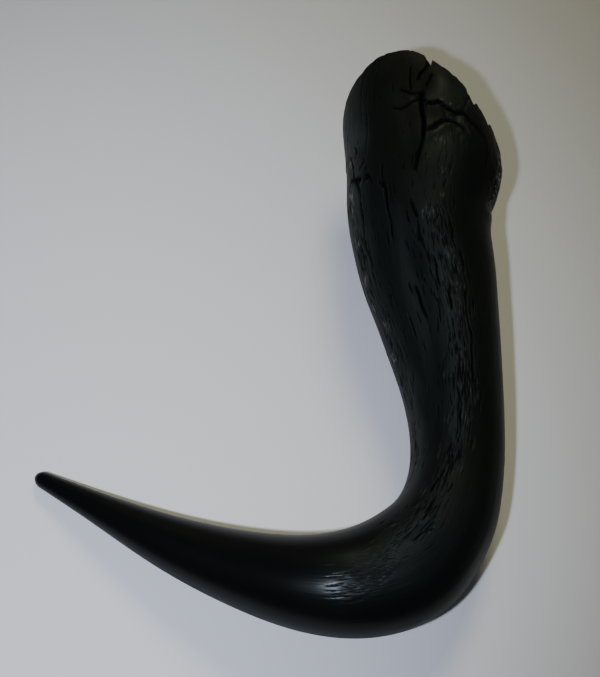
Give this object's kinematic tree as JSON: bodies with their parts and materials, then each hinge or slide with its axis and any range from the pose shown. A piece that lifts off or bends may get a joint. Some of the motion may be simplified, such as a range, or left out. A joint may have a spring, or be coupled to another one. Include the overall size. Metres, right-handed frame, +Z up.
{
  "type": "wildebeest horn",
  "caption": "Black wildebeest horn sheath lying down: thick cracked boss with a hollow, obliquely cut base, ridged shaft, tight bend and a smooth arm to a blunt tip.",
  "frame": {"origin": "middle of the underside of the horn's box, on the surface it lies on", "axes": "+Z up; +Y along the shaft from the bend towards the open base; +X from the tip towards the shaft, out of the open side of the J"},
  "size_m": [0.2446, 0.306, 0.0743],
  "materials": {
    "horn_keratin": "near-black keratin: satin on the arm and bend, dull, cracked and fibrous on the boss and along the shaft's crest"
  },
  "bodies": {
    "root": {"horn": "horn_keratin"}
  },
  "joints": []
}
